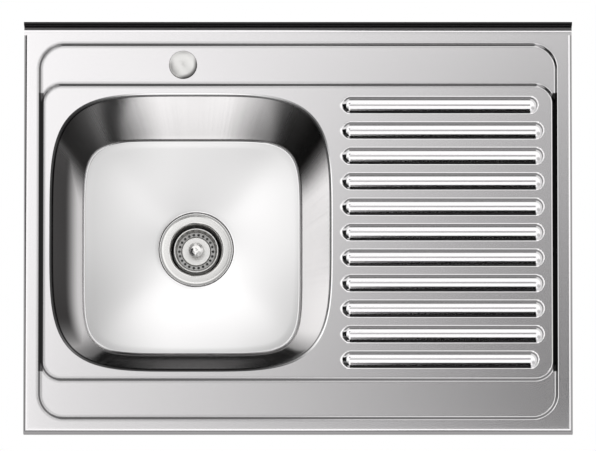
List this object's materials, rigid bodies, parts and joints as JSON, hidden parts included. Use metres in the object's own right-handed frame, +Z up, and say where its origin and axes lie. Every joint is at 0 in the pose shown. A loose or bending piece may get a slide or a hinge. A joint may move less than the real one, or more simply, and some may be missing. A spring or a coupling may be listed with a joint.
{
  "type": "kitchen sink",
  "caption": "Lay-on stainless kitchen sink with a square bowl, ribbed drainer, rear upstand, capped tap hole and lift-out basket strainer waste.",
  "frame": {"origin": "middle of the front strip of the seat lip, on the underside that rests on the cabinet", "axes": "+X to the right seen from the front, +Y towards the wall, +Z up"},
  "size_m": [0.8, 0.6, 0.2838],
  "materials": {
    "satin_steel": "polished stainless sheet",
    "polished_steel": "bright polished stainless steel",
    "plated_steel": "zinc plated",
    "moulded_plastic": "moulded polypropylene",
    "black_rubber": "moulded rubber",
    "damping_pad": "self-adhesive bitumen pad",
    "brass": "turned brass"
  },
  "bodies": {
    "sink": {"deck": "satin_steel", "bowl": "satin_steel", "bowl_pad": "damping_pad", "drainer_pad": "damping_pad", "earth_tag": "plated_steel", "clip_front_left": "plated_steel", "clip_front_right": "plated_steel", "clip_rear_left": "plated_steel", "clip_rear_right": "plated_steel", "strainer_flange": "polished_steel", "flange_gasket": "black_rubber", "body_gasket": "black_rubber", "waste_body": "moulded_plastic", "thread_insert": "brass", "clamp_screw": "polished_steel", "tap_hole_cap": "polished_steel", "cap_stud": "plated_steel", "cap_seal": "black_rubber", "cap_bridge": "plated_steel", "cap_wing_nut": "plated_steel"},
    "knob_set": {"basket_knob": "polished_steel", "basket_post": "polished_steel", "stopper_seal": "black_rubber", "post_nut": "polished_steel"},
    "basket": {"strainer_basket": "polished_steel"}
  },
  "joints": [
    {"name": "basket_lift", "type": "slide", "parent": "sink", "child": "knob_set", "axis": [0, 0, 1], "range_m": [0, 0.2]},
    {"name": "basket_spin", "type": "hinge", "parent": "knob_set", "child": "basket", "pos_m": [-0.15, 0.2835, -0.158], "axis": [0, 0, 1], "continuous": true}
  ]
}
